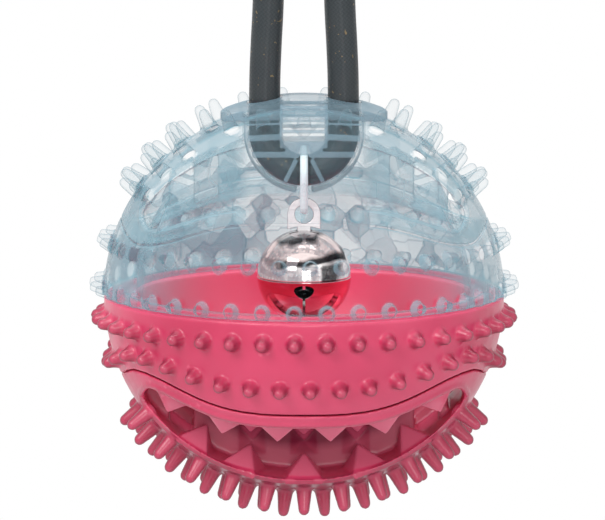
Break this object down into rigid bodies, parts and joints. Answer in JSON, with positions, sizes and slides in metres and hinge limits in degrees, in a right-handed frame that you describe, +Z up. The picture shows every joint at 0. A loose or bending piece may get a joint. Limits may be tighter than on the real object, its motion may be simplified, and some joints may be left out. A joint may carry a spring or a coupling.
{
  "type": "treat ball",
  "caption": "Hanging treat ball: a pink and a clear rubber half with toothed mouths and soft bristles, a rope through the top and a bell hung inside.",
  "frame": {"origin": "inside of the top of the rope's loop, where the ball hangs", "axes": "+Z up along the hanging line, -Y towards the front mouths, +X to the right seen from the front"},
  "size_m": [0.0774, 0.0774, 0.1307],
  "materials": {
    "pink_rubber": "satin moulded pink-red thermoplastic rubber",
    "clear_rubber": "glossy translucent blue-grey thermoplastic rubber",
    "grey_rope": "dark grey braided sheath with brown flecks",
    "white_cord": "smooth white cord",
    "chrome": "mirror plated sheet steel"
  },
  "bodies": {
    "ball": {"lower_shell": "pink_rubber", "lower_jaw": "pink_rubber", "upper_shell": "clear_rubber", "upper_jaw": "clear_rubber", "rope_guide": "clear_rubber", "rope_bend": "grey_rope", "rope_loop": "grey_rope"},
    "tie": {"bell_tie": "white_cord"},
    "bell": {"bell_eye": "chrome", "bell_top": "chrome", "bell_bottom": "chrome"},
    "pellet": {"bell_pellet": "chrome"}
  },
  "joints": [
    {"name": "tie_swing", "type": "hinge", "parent": "ball", "child": "tie", "pos_m": [0, 0, -0.06237], "axis": [1, 0, 0], "range_deg": [-25, 25]},
    {"name": "bell_swing", "type": "hinge", "parent": "tie", "child": "bell", "pos_m": [0, 0, -0.06968], "axis": [0, 1, 0], "range_deg": [-35, 35]},
    {"name": "pellet_roll", "type": "hinge", "parent": "bell", "child": "pellet", "pos_m": [0, 0, -0.0816], "axis": [1, 0, 0], "range_deg": [-50, 50]}
  ]
}
